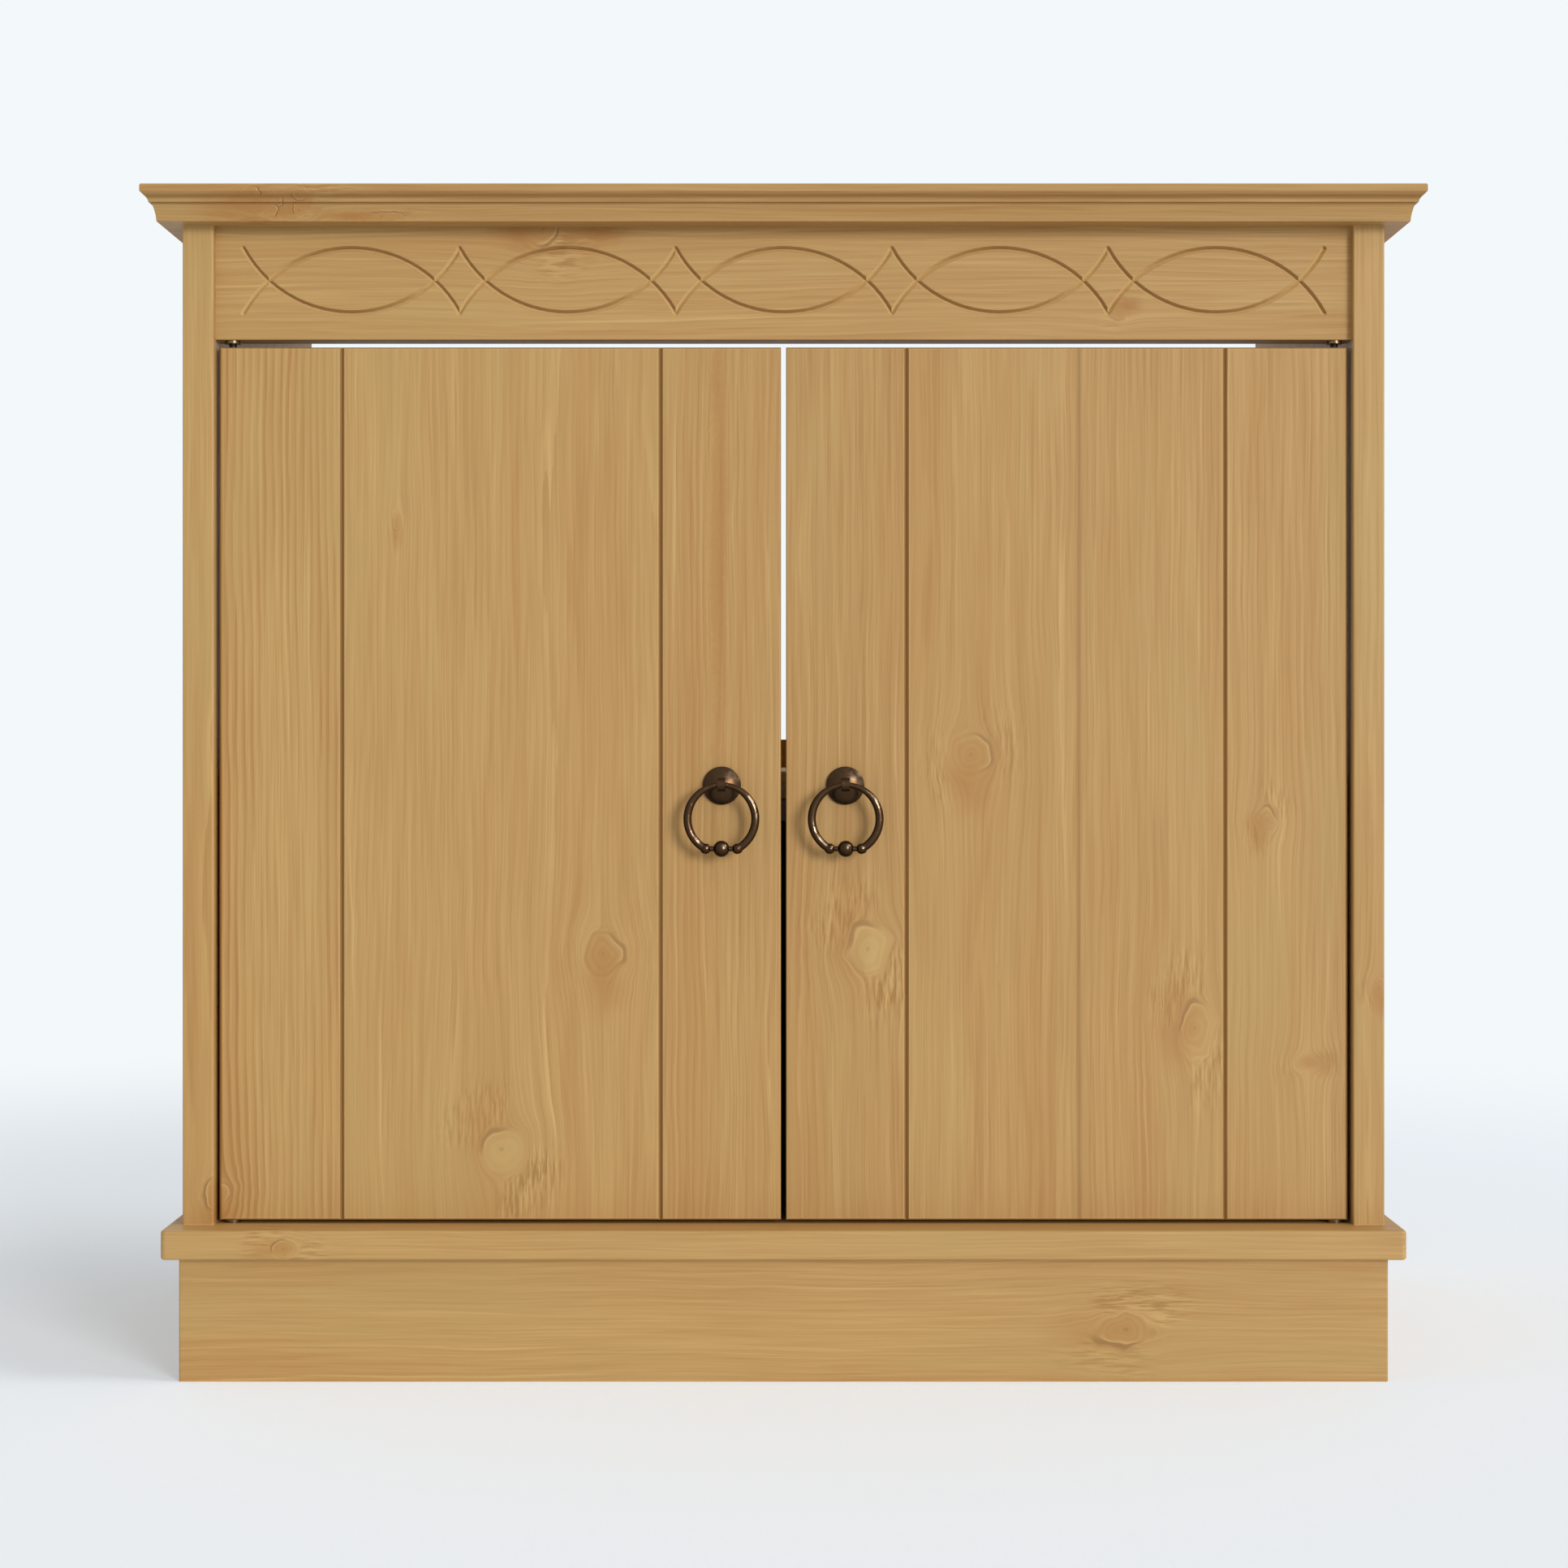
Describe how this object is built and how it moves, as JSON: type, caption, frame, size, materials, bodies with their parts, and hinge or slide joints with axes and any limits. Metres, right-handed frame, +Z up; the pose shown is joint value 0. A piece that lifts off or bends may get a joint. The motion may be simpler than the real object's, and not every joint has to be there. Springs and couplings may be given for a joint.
{
  "type": "vanity unit",
  "caption": "Free-standing pine vanity unit for under a basin: moulded top with a waste notch, arc-carved frieze, inset board doors with ring pulls, shelf, plinth.",
  "frame": {"origin": "on the floor below the middle of the top board", "axes": "+Z up, -Y out of the front, +X to the right of someone who faces the doors"},
  "size_m": [0.652, 0.33, 0.6085],
  "materials": {
    "pine": "honey-stained satin lacquer",
    "plywood": "unfinished plywood",
    "beech": "raw beech dowel",
    "bronze": "dark antique patina",
    "sintered_bronze": "sintered, soaked in oil",
    "black_steel": "phosphated",
    "steel": "zinc plated",
    "plastic": "moulded, brown",
    "ferrite": "ferrite magnet, ground"
  },
  "bodies": {
    "carcass": {"back_panel": "plywood", "back_panel_nails": "steel", "back_rail": "pine", "back_rail_dowels": "beech", "base_board": "pine", "base_dowels": "beech", "catch_housing": "plastic", "catch_magnets": "ferrite", "catch_screws": "steel", "cleat_screws": "steel", "frieze_dowels": "beech", "frieze_rail": "pine", "pivot_bushes": "sintered_bronze", "plinth_back": "pine", "plinth_blocks": "pine", "plinth_front": "pine", "plinth_side_left": "pine", "plinth_side_right": "pine", "shelf": "pine", "shelf_cleat_left": "pine", "shelf_cleat_right": "pine", "side_panel_left": "pine", "side_panel_right": "pine", "top_board": "pine", "top_dowels": "beech"},
    "door_left": {"door_left_batten_screws": "steel", "door_left_inner_board": "pine", "door_left_lower_batten": "pine", "door_left_middle_board": "pine", "door_left_outer_board": "pine", "door_left_pivot_pins": "black_steel", "door_left_strike": "steel", "door_left_strike_screw": "steel", "door_left_upper_batten": "pine", "pull_left_rosette": "bronze", "pull_left_screw": "steel", "pull_left_washer": "steel"},
    "door_right": {"door_right_batten_screws": "steel", "door_right_inner_board": "pine", "door_right_lower_batten": "pine", "door_right_middle_board": "pine", "door_right_outer_board": "pine", "door_right_pivot_pins": "black_steel", "door_right_strike": "steel", "door_right_strike_screw": "steel", "door_right_upper_batten": "pine", "pull_right_rosette": "bronze", "pull_right_screw": "steel", "pull_right_washer": "steel"},
    "ring_left": {"ring_left": "bronze"},
    "ring_right": {"ring_right": "bronze"}
  },
  "joints": [
    {"name": "door_left_swing", "type": "hinge", "parent": "carcass", "child": "door_left", "pos_m": [-0.2839, -0.1358, 0.304], "axis": [0, 0, -1], "range_deg": [0, 100]},
    {"name": "door_right_swing", "type": "hinge", "parent": "carcass", "child": "door_right", "pos_m": [0.2839, -0.1358, 0.304], "axis": [0, 0, 1], "range_deg": [0, 100]},
    {"name": "ring_left_swing", "type": "hinge", "parent": "door_left", "child": "ring_left", "pos_m": [-0.0317, -0.153, 0.3039], "axis": [-1, 0, 0], "range_deg": [-12, 165]},
    {"name": "ring_right_swing", "type": "hinge", "parent": "door_right", "child": "ring_right", "pos_m": [0.0317, -0.153, 0.3039], "axis": [-1, 0, 0], "range_deg": [-12, 165]}
  ]
}
